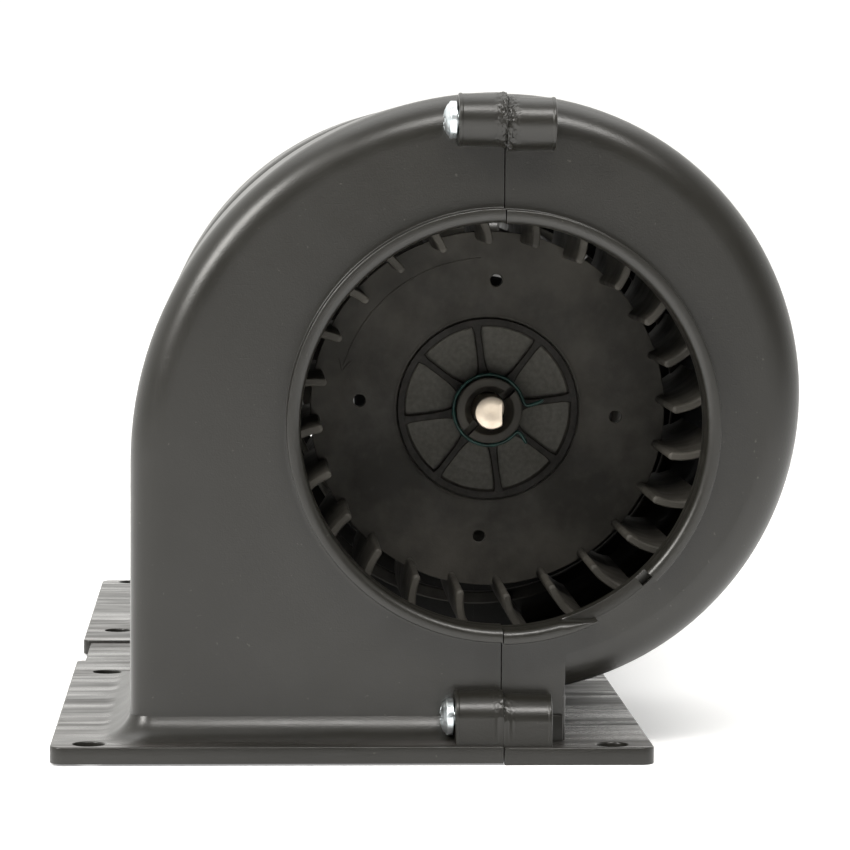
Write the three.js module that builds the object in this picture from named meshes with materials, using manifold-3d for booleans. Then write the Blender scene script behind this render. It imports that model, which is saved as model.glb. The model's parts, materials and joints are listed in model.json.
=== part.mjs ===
// Twin centrifugal blower: two plastic scroll housings side by side on one mounting
// flange, with a wheel in each and a double-shaft motor held between them.
// Millimetres, +Z up. The shaft lies along Y. The origin is the centre of the footprint.
import * as THREE from "three";
import { mergeVertices } from "three/addons/utils/BufferGeometryUtils.js";
import Module from "manifold-3d";

const wasm = await Module();
wasm.setup();

// ---------------------------------------------------------------- driving dimensions

const GAP = 0.3; // clearance left between pieces that touch

// Shaft axis
const AXIS_X = 16.65;
const AXIS_Z = 75.7;

// Casing: positions along Y are for the front end, the rear end is its mirror image
const FLANGE = { left: -84.85, right: 50.65, front: -161.5, back: -19.5, thick: 4.3, corner: 3 };
const BRIDGE = { left: -82.85, right: 48.65, thick: 3.8 };
const WALL = 2.5;
const EDGE_RADIUS = 8; // rounding between the faces and the rim wall of a scroll
const FACE_OUTER = -150.5; // outer face of a scroll, where the visible inlet is
const FACE_INNER = -46.5; // inner face, towards the motor
const LEFT_ARC = { z: -9.2, r: 84 }; // left half of the scroll, centred below the shaft
const RIGHT_ARC = { z: 6.6, r: 68.2 }; // right half, centred above the shaft
const TONGUE_X = 14.7; // outer face of the duct wall beside the tongue, from the shaft
const INLET_RADIUS = 45.6;
const INLET_RIM = { r: 48.8, proud: 6, inside: 4, innerProud: 3 };
const RIM_NOTCH = { from: -66, to: -45 }; // degrees from +X, where the rim is cut down to the face
const BOLT_HOLE = { r: 3.5, x: [-76.15, 41.35], y: [-156.5, -41] };
const SPLIT_GAP = 0.3;

// Screws that close the casing, and their bosses
const END_BOSS = { r: 6, y: -154.2, topZ: 68.4, bottomZ: -65.7, left: -10.8, right: 11 };
const END_SCREW = { headR: 4.2, headH: 3, shankR: 2, tip: 8 };
const BAND_BOSS = { r: 4.5, z: 40.5, left: -9, right: 9 };
const BAND_SCREW = { headR: 3.4, headH: 2.4, shankR: 1.5, tip: 6.5 };

// Motor cradle: a split band on four arms between the scrolls
const BAND = { rIn: 33.5, rOut: 36.5, half: 14 };
const ARM = { rIn: 47.2, rOut: 53.2, wide: 9, web: 4, angles: [45, 135, 225, 315] };

// Wheels
const WHEEL = { y: -97, half: 37.5, rTip: 41.2, rOut: 51, blades: 24, thick: 1.8, ring: 2.6 };
const BLADE_PHASE = 3.2; // degrees from +X of the first blade's inner tip
const DISC = { r: 42.5, thick: 2.2, recessR: 19.7, ribR: 21.7, recess: 1.4 };
const SPOKES = { count: 8, wide: 1.6, proud: 0.6, phase: 7.9 };
const DISC_HOLE = { count: 4, r: 1.4, at: 30.8, phase: -3.5 };
const HUB = { rBore: 4.3, r: 7.8, front: 8.5, back: 4, slot: 1.8, slotDepth: 5, slotAngle: 44 };
const CLIP = { r: 8.5, wire: 0.45, y: 4.6, from: 10, to: 322, tipR: 12.8, tips: [8, 324] };

// Motor
const SHAFT = { r: 4, half: 112.5, flat: 2.6, flatLength: 14 };
const CAN = { r: 30.5, wall: 2, half: 40 };
const CAP = { thick: 2.2, bore: 7.4, cupR: 9.4, cupEnd: 9.6 };
const MAGNET = { rIn: 23.6, rOut: 28.2, y: [-16, 26], spread: 116 };
const CORE = { r: 22.8, y: [-12, 22], slots: 12, slotR: 11, mouth: 2, neck: [8, 4.2] };
const COMMUTATOR = { r: 9, y: [-36, -24] };
const WINDING = { r: 21.2, front: [-21.5, -12.3], back: [22.3, 31.5] };
const BRUSH = { y: -30, long: 6, wide: 5, rIn: 9.3, rOut: 19.5 };
const GUIDE = { wall: 1.3, rIn: 11.6, rEnd: 27.4 };
const BRUSH_SPRING = { r: 1.9, wire: 0.35, turns: 4 };
const BEARING = { rIn: 4.3, rOut: 6.9, y: [43.2, 49] };
const RUBBER = { rIn: 30.8, rOut: 33.2, y: [8, 14] };
const TIE_BOLT = { r: 1.5, at: 26.2, angle: 70, headR: 2.8 };
const GROMMET = { at: 22, r: 3.2, groove: 2.4 };

// ---------------------------------------------------------------- solid helpers

const radians = THREE.MathUtils.degToRad;

function solid(geometry) {
  const bare = geometry.index ? geometry.toNonIndexed() : geometry.clone();
  bare.deleteAttribute("normal");
  bare.deleteAttribute("uv");
  const merged = mergeVertices(bare, 1e-4);
  return new wasm.Manifold(
    new wasm.Mesh({
      numProp: 3,
      vertProperties: merged.attributes.position.array,
      triVerts: new Uint32Array(merged.index.array),
    }),
  );
}

function geometryOf(body) {
  const mesh = body.getMesh();
  const geometry = new THREE.BufferGeometry();
  geometry.setAttribute("position", new THREE.BufferAttribute(mesh.vertProperties, 3));
  geometry.setIndex(new THREE.BufferAttribute(mesh.triVerts, 1));
  const faceted = geometry.toNonIndexed();
  faceted.computeVertexNormals();
  return faceted;
}

// Moves a geometry from the shaft's own frame to the object's frame.
const onShaft = (geometry) => geometry.translate(AXIS_X, 0, AXIS_Z);

// A shape drawn in X and Z about the shaft, extruded along Y from y0 to y1.
function prism(shape, y0, y1, curveSegments = 8) {
  const geometry = new THREE.ExtrudeGeometry(shape, {
    depth: y1 - y0,
    bevelEnabled: false,
    curveSegments,
  });
  return solid(onShaft(geometry.rotateX(Math.PI / 2).translate(0, y1, 0)));
}

// The same with its two end faces rounded over by radius.
function roundedPrism(shape, y0, y1, radius) {
  const geometry = new THREE.ExtrudeGeometry(shape, {
    depth: y1 - y0 - 2 * radius,
    bevelThickness: radius,
    bevelSize: radius,
    bevelOffset: -radius,
    bevelSegments: 2,
    curveSegments: 4,
  });
  return solid(onShaft(geometry.rotateX(Math.PI / 2).translate(0, y1 - radius, 0)));
}

// A closed profile of [radius, y] points turned about the shaft.
function turned(profile, segments = 36) {
  const points = profile.map(([r, y]) => new THREE.Vector2(r, y));
  if (THREE.ShapeUtils.area(points) < 0) points.reverse();
  points.push(points[0].clone());
  return solid(onShaft(new THREE.LatheGeometry(points, segments)));
}

const tube = (rIn, rOut, y0, y1, segments) =>
  turned([[rIn, y0], [rOut, y0], [rOut, y1], [rIn, y1]], segments);

// A bar along Y at a place given from the shaft.
function rod(r, y0, y1, segments = 16, x = 0, z = 0) {
  const geometry = new THREE.CylinderGeometry(r, r, y1 - y0, segments);
  return solid(onShaft(geometry.translate(x, (y0 + y1) / 2, z)));
}

// A bar along X, with x and z from the shaft.
function crossRod(r, x0, x1, y, z, segments = 16) {
  const geometry = new THREE.CylinderGeometry(r, r, x1 - x0, segments).rotateZ(Math.PI / 2);
  return solid(onShaft(geometry.translate((x0 + x1) / 2, y, z)));
}

// A box from its low and high corners, with x and z from the shaft.
function block([x0, y0, z0], [x1, y1, z1]) {
  const geometry = new THREE.BoxGeometry(x1 - x0, y1 - y0, z1 - z0);
  return solid(onShaft(geometry.translate((x0 + x1) / 2, (y0 + y1) / 2, (z0 + z1) / 2)));
}

// A box that reaches from r0 to r1 at an angle round the shaft.
function radialBlock(r0, r1, wide, y0, y1, degrees) {
  const geometry = new THREE.BoxGeometry(r1 - r0, y1 - y0, wide);
  geometry.translate((r0 + r1) / 2, (y0 + y1) / 2, 0).rotateY(-radians(degrees));
  return solid(onShaft(geometry));
}

const joined = (pieces) => pieces.reduce((a, b) => a.add(b));
const cut = (body, tools) => tools.reduce((a, b) => a.subtract(b), body);
const polar = (r, degrees) => [r * Math.cos(radians(degrees)), r * Math.sin(radians(degrees))];

// Y range of the same feature at the front end (end -1) or the rear end (end +1).
const atEnd = (end, y0, y1) => (end < 0 ? [y0, y1] : [-y1, -y0]);

// ---------------------------------------------------------------- casing

const FLOOR_Z = -AXIS_Z;
const FLANGE_TOP_Z = FLOOR_Z + FLANGE.thick;
const BELOW = FLOOR_Z - 15;

// Scroll and duct outline in from the outer skin by inset, open downwards past the flange.
function scrollOutline(inset) {
  const left = LEFT_ARC.r - inset;
  const right = RIGHT_ARC.r - inset;
  const tongueX = TONGUE_X - inset;
  const tongueAngle = -Math.acos(tongueX / right);
  const shape = new THREE.Shape();
  shape.moveTo(-left, BELOW);
  shape.lineTo(tongueX, BELOW);
  shape.lineTo(tongueX, RIGHT_ARC.z + right * Math.sin(tongueAngle));
  shape.absarc(0, RIGHT_ARC.z, right, tongueAngle, 0, false);
  shape.absarc(0, RIGHT_ARC.z, right, 0, Math.PI / 2, false);
  shape.absarc(0, LEFT_ARC.z, left, Math.PI / 2, Math.PI, false);
  return shape;
}

// A rectangle with rounded corners on the floor plane, extruded upwards.
function plate({ left, right, thick, corner = 0.5 }, y0, y1) {
  const shape = new THREE.Shape();
  shape.moveTo(left + corner, y0);
  shape.absarc(right - corner, y0 + corner, corner, -Math.PI / 2, 0, false);
  shape.absarc(right - corner, y1 - corner, corner, 0, Math.PI / 2, false);
  shape.absarc(left + corner, y1 - corner, corner, Math.PI / 2, Math.PI, false);
  shape.absarc(left + corner, y0 + corner, corner, Math.PI, 1.5 * Math.PI, false);
  return solid(new THREE.ExtrudeGeometry(shape, {
    depth: thick,
    bevelEnabled: false,
    curveSegments: 2,
  }));
}

function notchTool(end) {
  const { from, to } = RIM_NOTCH;
  const shape = new THREE.Shape();
  shape.absarc(0, 0, INLET_RIM.r + 1, radians(from), radians(to), false);
  shape.absarc(0, 0, INLET_RADIUS - 1, radians(to), radians(from), true);
  return prism(shape, ...atEnd(end, FACE_OUTER - INLET_RIM.proud - 1, FACE_OUTER), 3);
}

function endSkin(end) {
  const [y0, y1] = atEnd(end, FACE_OUTER, FACE_INNER);
  const [rim0, rim1] = atEnd(end, FACE_OUTER - INLET_RIM.proud, FACE_OUTER + INLET_RIM.inside);
  const [inner0, inner1] = atEnd(end, FACE_INNER - WALL, FACE_INNER + INLET_RIM.innerProud);
  const [boss0, boss1] = atEnd(end, END_BOSS.y - END_BOSS.r, FACE_OUTER + WALL / 2);
  const bossY = -end * END_BOSS.y;
  return {
    scroll: roundedPrism(scrollOutline(0), y0, y1, EDGE_RADIUS),
    cavity: roundedPrism(scrollOutline(WALL), y0 + WALL, y1 - WALL, EDGE_RADIUS - WALL),
    extras: [
      plate(FLANGE, ...atEnd(end, FLANGE.front, FLANGE.back)),
      rod(INLET_RIM.r, rim0, rim1, 32),
      rod(INLET_RIM.r, inner0, inner1, 32),
      crossRod(END_BOSS.r, END_BOSS.left, END_BOSS.right, bossY, END_BOSS.topZ, 14),
      crossRod(END_BOSS.r, END_BOSS.left, END_BOSS.right, bossY, END_BOSS.bottomZ, 14),
      block([END_BOSS.left, boss0, FLANGE_TOP_Z - 1], [END_BOSS.right, boss1, END_BOSS.bottomZ]),
    ],
  };
}

// The drilled hole and the flat seat for one casing screw.
function screwHole(screw, boss, y, z) {
  return [
    crossRod(screw.shankR + GAP, boss.left - 1, screw.tip + 1, y, z, 10),
    crossRod(screw.headR + GAP, boss.left - screw.headH - 2 * GAP, boss.left, y, z, 14),
  ];
}

const SCREWS = [
  ["casing_screw_front_top", END_SCREW, END_BOSS, END_BOSS.y, END_BOSS.topZ],
  ["casing_screw_front_bottom", END_SCREW, END_BOSS, END_BOSS.y, END_BOSS.bottomZ],
  ["casing_screw_rear_top", END_SCREW, END_BOSS, -END_BOSS.y, END_BOSS.topZ],
  ["casing_screw_rear_bottom", END_SCREW, END_BOSS, -END_BOSS.y, END_BOSS.bottomZ],
  ["cradle_screw_top", BAND_SCREW, BAND_BOSS, 0, BAND_BOSS.z],
  ["cradle_screw_bottom", BAND_SCREW, BAND_BOSS, 0, -BAND_BOSS.z],
];

function wholeCasing() {
  const ends = [endSkin(-1), endSkin(1)];
  const arms = ARM.angles.flatMap((degrees) => [
    radialBlock(ARM.rIn, ARM.rOut, ARM.wide, FACE_INNER - 1, -FACE_INNER + 1, degrees),
    radialBlock(BAND.rIn + 1, ARM.rIn + 1, ARM.web, -BAND.half, BAND.half, degrees),
  ]);
  const skins = joined([
    ...ends.flatMap((e) => [e.scroll, ...e.extras]),
    plate(BRIDGE, FLANGE.back - 1, -FLANGE.back + 1),
    tube(BAND.rIn, BAND.rOut, -BAND.half, BAND.half, 28),
    crossRod(BAND_BOSS.r, BAND_BOSS.left, BAND_BOSS.right, 0, BAND_BOSS.z, 12),
    crossRod(BAND_BOSS.r, BAND_BOSS.left, BAND_BOSS.right, 0, -BAND_BOSS.z, 12),
    ...arms,
  ]);
  const inlets = [-1, 1].flatMap((end) => [
    rod(INLET_RADIUS, ...atEnd(end, FACE_OUTER - 10, FACE_INNER + 10), 32),
    notchTool(end),
  ]);
  const boltHoles = BOLT_HOLE.x.flatMap((x) =>
    BOLT_HOLE.y.flatMap((y) =>
      [y, -y].map((holeY) => {
        const bolt = new THREE.CylinderGeometry(BOLT_HOLE.r, BOLT_HOLE.r, 20, 12);
        return solid(bolt.rotateX(Math.PI / 2).translate(x, holeY, 0));
      }),
    ),
  );
  return cut(skins, [
    ...ends.map((e) => e.cavity),
    ...inlets,
    ...boltHoles,
    ...SCREWS.flatMap(([, screw, boss, y, z]) => screwHole(screw, boss, y, z)),
    block([-200, -200, BELOW - 10], [200, 200, FLOOR_Z]),
  ]).add(cradleBack());
}

// The cradle again, because the inlet bores also pass through its webs.
function cradleBack() {
  return joined([
    tube(BAND.rIn, BAND.rOut, -BAND.half, BAND.half, 28),
    ...ARM.angles.map((degrees) =>
      radialBlock(BAND.rIn + 1, ARM.rIn + 1, ARM.web, -BAND.half, BAND.half, degrees),
    ),
  ]);
}

function casingHalves() {
  const whole = wholeCasing();
  const far = 300;
  const leftSide = block([-far, -far, -far], [-SPLIT_GAP / 2, far, far]);
  const rightSide = block([SPLIT_GAP / 2, -far, -far], [far, far, far]);
  return [whole.intersect(leftSide), whole.intersect(rightSide)];
}

function casingScrew(screw, boss, y, z) {
  const under = boss.left - GAP;
  const head = crossRod(screw.headR, under - screw.headH, under, y, z, 14);
  const shank = crossRod(screw.shankR, under - 0.5, screw.tip, y, z, 10);
  const slot = [
    block([under - screw.headH - 1, y - 2.4, z - 0.5], [under - screw.headH + 1.4, y + 2.4, z + 0.5]),
    block([under - screw.headH - 1, y - 0.5, z - 2.4], [under - screw.headH + 1.4, y + 0.5, z + 2.4]),
  ];
  return cut(head.add(shank), slot);
}

// ---------------------------------------------------------------- wheels and clips

// One forward-curved blade: a strip between two arcs, leaning over towards its outer edge.
function bladeShape(degrees) {
  const curve = 15; // radius of the blade's arc
  const start = radians(5);
  const end = start + (WHEEL.rOut - WHEEL.rTip) / curve / 0.82;
  const side = (offset) =>
    [0, 0.5, 1].map((t) => {
      const a = start + t * (end - start);
      const x = WHEEL.rTip + (curve - offset) * Math.sin(a) - curve * Math.sin(start);
      const z = curve * Math.cos(start) - (curve - offset) * Math.cos(a);
      return new THREE.Vector2(x, z).rotateAround(new THREE.Vector2(), radians(degrees));
    });
  const half = WHEEL.thick / 2;
  return new THREE.Shape([...side(-half), ...side(half).reverse()]);
}

// Disc with its rib, the recess inside the rib and the hub; the long collet faces outwards.
function wheelDisc(end) {
  const half = DISC.thick / 2;
  const { recessR, ribR, r, recess } = DISC;
  const rib = half + 0.9;
  const outer = HUB.front;
  const profile = [
    [HUB.rBore, -outer], [HUB.r, -outer], [HUB.r, -half + recess], [recessR, -half + recess],
    [recessR, -rib], [ribR, -rib], [ribR, -half], [r, -half], [r, half], [HUB.r, half],
    [HUB.r, HUB.back], [HUB.rBore, HUB.back],
  ].map(([radius, y]) => [radius, -end * (WHEEL.y + y)]);
  return turned(profile, WHEEL.blades);
}

function wheel(end) {
  const centre = -end * WHEEL.y;
  const y0 = centre - WHEEL.half;
  const y1 = centre + WHEEL.half;
  const between = (a, b) => [Math.min(a, b), Math.max(a, b)];
  const blades = Array.from({ length: WHEEL.blades }, (_, k) =>
    prism(bladeShape(BLADE_PHASE + (k * 360) / WHEEL.blades), y0, y1),
  );
  const ringIn = WHEEL.rOut - WHEEL.ring;
  const spokeY = between(centre, centre + end * (DISC.thick / 2 + SPOKES.proud));
  const spokes = Array.from({ length: SPOKES.count }, (_, k) =>
    radialBlock(
      HUB.r - 1,
      DISC.recessR + 0.5,
      SPOKES.wide,
      ...spokeY,
      SPOKES.phase + (k * 360) / SPOKES.count,
    ),
  );
  const holes = Array.from({ length: DISC_HOLE.count }, (_, k) => {
    const [x, z] = polar(DISC_HOLE.at, DISC_HOLE.phase + (k * 360) / DISC_HOLE.count);
    return rod(DISC_HOLE.r, centre - 5, centre + 5, 6, x, z);
  });
  const slotY = between(
    centre + end * (HUB.front + 1),
    centre + end * (HUB.front - HUB.slotDepth),
  );
  const slots = [0, 180].map((turn) =>
    radialBlock(0, HUB.r + 1, HUB.slot, ...slotY, HUB.slotAngle + turn),
  );
  return cut(
    joined([
      ...blades,
      tube(ringIn, WHEEL.rOut + 0.4, y0, y0 + 3, WHEEL.blades),
      tube(ringIn, WHEEL.rOut + 0.4, y1 - 3, y1, WHEEL.blades),
      wheelDisc(end),
      ...spokes,
    ]),
    [...holes, ...slots],
  );
}

// Spring wire bent round the collet, its two ends turned outwards.
function hubClip(end) {
  const y = -end * WHEEL.y + end * (DISC.thick / 2 + CLIP.y);
  const steps = 14;
  const point = (r, degrees) => {
    const [x, z] = polar(r, degrees);
    return new THREE.Vector3(x, y, z);
  };
  const ring = Array.from({ length: steps + 1 }, (_, k) =>
    point(CLIP.r, CLIP.from + ((CLIP.to - CLIP.from) * k) / steps),
  );
  const path = new THREE.CatmullRomCurve3(
    [point(CLIP.tipR, CLIP.tips[0]), ...ring, point(CLIP.tipR, CLIP.tips[1])],
    false,
    "centripetal",
  );
  const wire = new THREE.Shape();
  wire.absarc(0, 0, CLIP.wire, 0, 2 * Math.PI, false);
  const geometry = new THREE.ExtrudeGeometry(wire, {
    extrudePath: path,
    steps: 20,
    curveSegments: 3,
  });
  return solid(onShaft(geometry));
}

// ---------------------------------------------------------------- motor

function motorShaft() {
  const flats = [-1, 1].map((end) => {
    const [y0, y1] = atEnd(end, -SHAFT.half - 1, -SHAFT.half + SHAFT.flatLength);
    return block([SHAFT.flat, y0, -10], [SHAFT.flat + 3, y1, 10]);
  });
  return cut(rod(SHAFT.r, -SHAFT.half, SHAFT.half, 20), flats);
}

// Laminated core with open slots round it.
function armatureCore() {
  const pitch = 360 / CORE.slots;
  const lip = THREE.MathUtils.radToDeg(CORE.mouth / CORE.r) / 2;
  const [neckIn, neckOut] = CORE.neck; // half width of a tooth in degrees, at its root and head
  const shape = new THREE.Shape(
    Array.from({ length: CORE.slots }, (_, k) => {
      const a = k * pitch;
      return [
        polar(CORE.r - 1.6, a + lip), polar(CORE.r, a + lip),
        polar(CORE.r, a + pitch / 2), polar(CORE.r, a + pitch - lip),
        polar(CORE.r - 1.6, a + pitch - lip),
        polar(CORE.r - 1.8, a + pitch / 2 + neckOut), polar(CORE.slotR, a + pitch / 2 + neckIn),
        polar(CORE.slotR, a + 1.5 * pitch - neckIn), polar(CORE.r - 1.8, a + 1.5 * pitch - neckOut),
      ];
    }).flat().map(([x, y]) => new THREE.Vector2(x, y)),
  );
  return prism(shape, ...CORE.y).subtract(rod(SHAFT.r + GAP, CORE.y[0] - 1, CORE.y[1] + 1));
}

// End turns at both ends of the core, joined by the bundles that lie in its slots.
function windings() {
  const hub = SHAFT.r + 3;
  const endTurn = ([y0, y1], outward) => {
    const near = outward < 0 ? y1 : y0;
    const far = outward < 0 ? y0 : y1;
    const mid = (near + far) / 2;
    return turned([
      [hub, near], [WINDING.r, near], [WINDING.r, mid], [WINDING.r - 3, far - outward],
      [WINDING.r - 6, far], [hub + 4, far], [hub, far - 3 * outward],
    ], 18);
  };
  const pitch = 360 / CORE.slots;
  const bundles = Array.from({ length: CORE.slots }, (_, k) => {
    const [y0, y1] = [WINDING.front[1] - 1, WINDING.back[0] + 1];
    return radialBlock(CORE.slotR + 1.4, CORE.r - 3, 2.4, y0, y1, k * pitch);
  });
  return joined([endTurn(WINDING.front, -1), endTurn(WINDING.back, 1), ...bundles]);
}

function commutator() {
  const [y0, y1] = COMMUTATOR.y;
  const bars = Array.from({ length: 8 }, (_, k) =>
    radialBlock(COMMUTATOR.r - 0.8, COMMUTATOR.r + 1, 0.6, y0 - 1, y1 - 2, k * 45 + 22.5),
  );
  const barrel = turned([
    [SHAFT.r + GAP, y0], [COMMUTATOR.r, y0], [COMMUTATOR.r, y1 - 2], [COMMUTATOR.r + 1.4, y1 - 2],
    [COMMUTATOR.r + 1.4, y1], [SHAFT.r + GAP, y1],
  ], 24);
  return cut(barrel, bars);
}

// End cap of the motor with a cup for the self-aligning bearing and its retainer.
function endCap(end, holes) {
  const inner = CAN.half + GAP;
  const outer = inner + CAP.thick;
  const cup = inner + CAP.cupEnd;
  const profile = [
    [CAP.bore, inner], [CAN.r, inner], [CAN.r, outer], [CAP.cupR, outer], [CAP.cupR, cup],
    [SHAFT.r + 0.8, cup], [SHAFT.r + 0.8, cup - 1.4], [CAP.bore, cup - 1.4],
  ].map(([r, y]) => [r, end * y]);
  return cut(turned(profile, 24), holes);
}

function tieBolt(turn) {
  const [x, z] = polar(TIE_BOLT.at, TIE_BOLT.angle + turn);
  const seat = CAN.half + CAP.thick + 2 * GAP;
  const head = rod(TIE_BOLT.headR, -seat - 2, -seat, 12, x, z);
  return head.add(rod(TIE_BOLT.r, -seat - 1, seat + 1, 12, x, z));
}

const tieBoltHoles = (clearance) =>
  [0, 180].map((turn) => {
    const [x, z] = polar(TIE_BOLT.at, TIE_BOLT.angle + turn);
    return rod(TIE_BOLT.r + clearance, -60, 60, 12, x, z);
  });

// Ring that carries the two brush guides above and below the commutator.
function brushCard() {
  const back = -CAN.half + 1;
  const plateFront = back + 1.8;
  const ring = tube(COMMUTATOR.r + 2.4, CAN.r - CAN.wall - GAP, back, plateFront, 28);
  const halfY = BRUSH.long / 2 + GAP;
  const halfX = BRUSH.wide / 2 + GAP;
  const { wall, rIn, rEnd } = GUIDE;
  const guides = [-1, 1].map((side) => {
    const z = [side * rIn, side * rEnd].sort((a, b) => a - b);
    return block(
      [-halfX - wall, back + 0.5, z[0]],
      [halfX + wall, BRUSH.y + halfY + wall, z[1]],
    );
  });
  const channels = [-1, 1].map((side) => {
    const z = [side * (rIn - 1), side * (rEnd - wall)].sort((a, b) => a - b);
    return block([-halfX, BRUSH.y - halfY, z[0]], [halfX, BRUSH.y + halfY, z[1]]);
  });
  return cut(joined([ring, ...guides]), [...channels, ...tieBoltHoles(GAP)]);
}

function brush(side) {
  const z = [side * BRUSH.rIn, side * BRUSH.rOut].sort((a, b) => a - b);
  const half = [BRUSH.wide / 2, BRUSH.long / 2];
  return block([-half[0], BRUSH.y - half[1], z[0]], [half[0], BRUSH.y + half[1], z[1]]);
}

function brushSpring(side) {
  const z0 = BRUSH.rOut + BRUSH_SPRING.wire + GAP;
  const z1 = GUIDE.rEnd - GUIDE.wall - BRUSH_SPRING.wire - GAP;
  const steps = BRUSH_SPRING.turns * 8;
  const points = Array.from({ length: steps + 1 }, (_, k) => {
    const [x, y] = polar(BRUSH_SPRING.r, k * 45);
    return new THREE.Vector3(x, BRUSH.y + y, side * (z0 + ((z1 - z0) * k) / steps));
  });
  const wire = new THREE.Shape();
  wire.absarc(0, 0, BRUSH_SPRING.wire, 0, 2 * Math.PI, false);
  const geometry = new THREE.ExtrudeGeometry(wire, {
    extrudePath: new THREE.CatmullRomCurve3(points),
    steps,
    curveSegments: 2,
  });
  return solid(onShaft(geometry));
}

// Ferrite arc of the field magnet, centred on the given side.
function magnet(degrees) {
  const { rIn, rOut, spread, y } = MAGNET;
  const shape = new THREE.Shape();
  shape.absarc(0, 0, rOut, radians(degrees - spread / 2), radians(degrees + spread / 2), false);
  shape.absarc(0, 0, rIn, radians(degrees + spread / 2), radians(degrees - spread / 2), true);
  return prism(shape, ...y, 6);
}

function bearing(end) {
  const [y0, y1] = BEARING.y;
  const mid = (y0 + y1) / 2;
  const side = BEARING.rOut - 1.6;
  return turned([
    [BEARING.rIn, y0], [side, y0], [BEARING.rOut, mid - 1], [BEARING.rOut, mid + 1], [side, y1 - 0.8],
    [BEARING.rIn, y1 - 0.8],
  ].map(([r, y]) => [r, end * y]), 16);
}

function bearingRetainer(end) {
  const y = [end * (BEARING.y[0] - 0.9), end * (BEARING.y[0] - 0.4)].sort((a, b) => a - b);
  return tube(4.6, CAP.bore - GAP, ...y, 14);
}

function thrustWasher(end) {
  const from = end < 0 ? COMMUTATOR.y[0] : 38.6;
  const y = end < 0 ? [from - 1.3, from - 0.3] : [from, from + 1];
  return tube(SHAFT.r + GAP, 6, ...y, 14);
}

// Rubber bush in the front end cap that the motor leads pass through.
function leadGrommet() {
  const inner = -CAN.half - GAP;
  const outer = inner - CAP.thick;
  const [x, z] = polar(GROMMET.at, 0);
  const profile = [
    [1.2, outer - 2.4], [GROMMET.r + 0.9, outer - 2.4], [GROMMET.r + 0.9, outer - GAP],
    [GROMMET.groove, outer - GAP], [GROMMET.groove, inner + GAP], [1.2, inner + GAP],
  ].map(([r, y]) => new THREE.Vector2(r, y));
  if (THREE.ShapeUtils.area(profile) < 0) profile.reverse();
  profile.push(profile[0].clone());
  return solid(onShaft(new THREE.LatheGeometry(profile, 12).translate(x, 0, z)));
}

function grommetHole() {
  const [x, z] = polar(GROMMET.at, 0);
  return rod(GROMMET.groove + GAP, -60, -CAN.half, 16, x, z);
}

// ---------------------------------------------------------------- materials and assembly

const standard = (color, roughness, metalness) =>
  new THREE.MeshStandardMaterial({ color, roughness, metalness });

const MATERIALS = {
  casing: standard(0x33322f, 0.5, 0),
  wheel: standard(0x26251f, 0.6, 0),
  screw: standard(0xc4c9cc, 0.35, 1),
  clip: standard(0x10403a, 0.5, 0.4),
  shaft: standard(0xd8cbb4, 0.25, 1),
  lamination: standard(0x6e7072, 0.5, 1),
  copper: standard(0xa8562a, 0.35, 1),
  can: standard(0x9a9da0, 0.35, 1),
  magnet: standard(0x2b2b2d, 0.7, 0),
  bronze: standard(0x8d6a3c, 0.5, 1),
  carbon: standard(0x1f1f21, 0.6, 0.1),
  card: standard(0x5b3a20, 0.7, 0),
  rubber: standard(0x141414, 0.85, 0),
};

const group = new THREE.Group();

function place(name, body, material) {
  const mesh = new THREE.Mesh(geometryOf(body), MATERIALS[material]);
  mesh.name = name;
  group.add(mesh);
}

const [leftHalf, rightHalf] = casingHalves();
place("casing_left", leftHalf, "casing");
place("casing_right", rightHalf, "casing");
for (const [name, screw, boss, y, z] of SCREWS) place(name, casingScrew(screw, boss, y, z), "screw");

const ENDS = [["front", -1], ["rear", 1]];
for (const [name, end] of ENDS) {
  const capHoles = [...tieBoltHoles(GAP), ...(end < 0 ? [grommetHole()] : [])];
  const rubberY = end < 0 ? [-RUBBER.y[1], -RUBBER.y[0]] : RUBBER.y;
  place(`wheel_${name}`, wheel(end), "wheel");
  place(`hub_clip_${name}`, hubClip(end), "clip");
  place(`motor_end_cap_${name}`, endCap(end, capHoles), "can");
  place(`bearing_${name}`, bearing(end), "bronze");
  place(`bearing_retainer_${name}`, bearingRetainer(end), "screw");
  place(`thrust_washer_${name}`, thrustWasher(end), "card");
  place(`mount_ring_${name}`, tube(RUBBER.rIn, RUBBER.rOut, ...rubberY, 28), "rubber");
}

const canInner = CAN.r - CAN.wall;
place("motor_shaft", motorShaft(), "shaft");
place("motor_can", tube(canInner, CAN.r, -CAN.half, CAN.half, 32), "can");
place("magnet_left", magnet(180), "magnet");
place("magnet_right", magnet(0), "magnet");
place("armature_core", armatureCore(), "lamination");
place("armature_windings", windings(), "copper");
place("commutator", commutator(), "copper");
place("brush_card", brushCard(), "card");
place("tie_bolt_upper", tieBolt(0), "screw");
place("tie_bolt_lower", tieBolt(180), "screw");
place("lead_grommet", leadGrommet(), "rubber");
for (const [name, side] of [["upper", 1], ["lower", -1]]) {
  place(`brush_${name}`, brush(side), "carbon");
  place(`brush_spring_${name}`, brushSpring(side), "screw");
}

export default group;
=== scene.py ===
import json
import math

import bmesh
import bpy
import numpy as np
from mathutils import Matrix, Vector, noise


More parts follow.
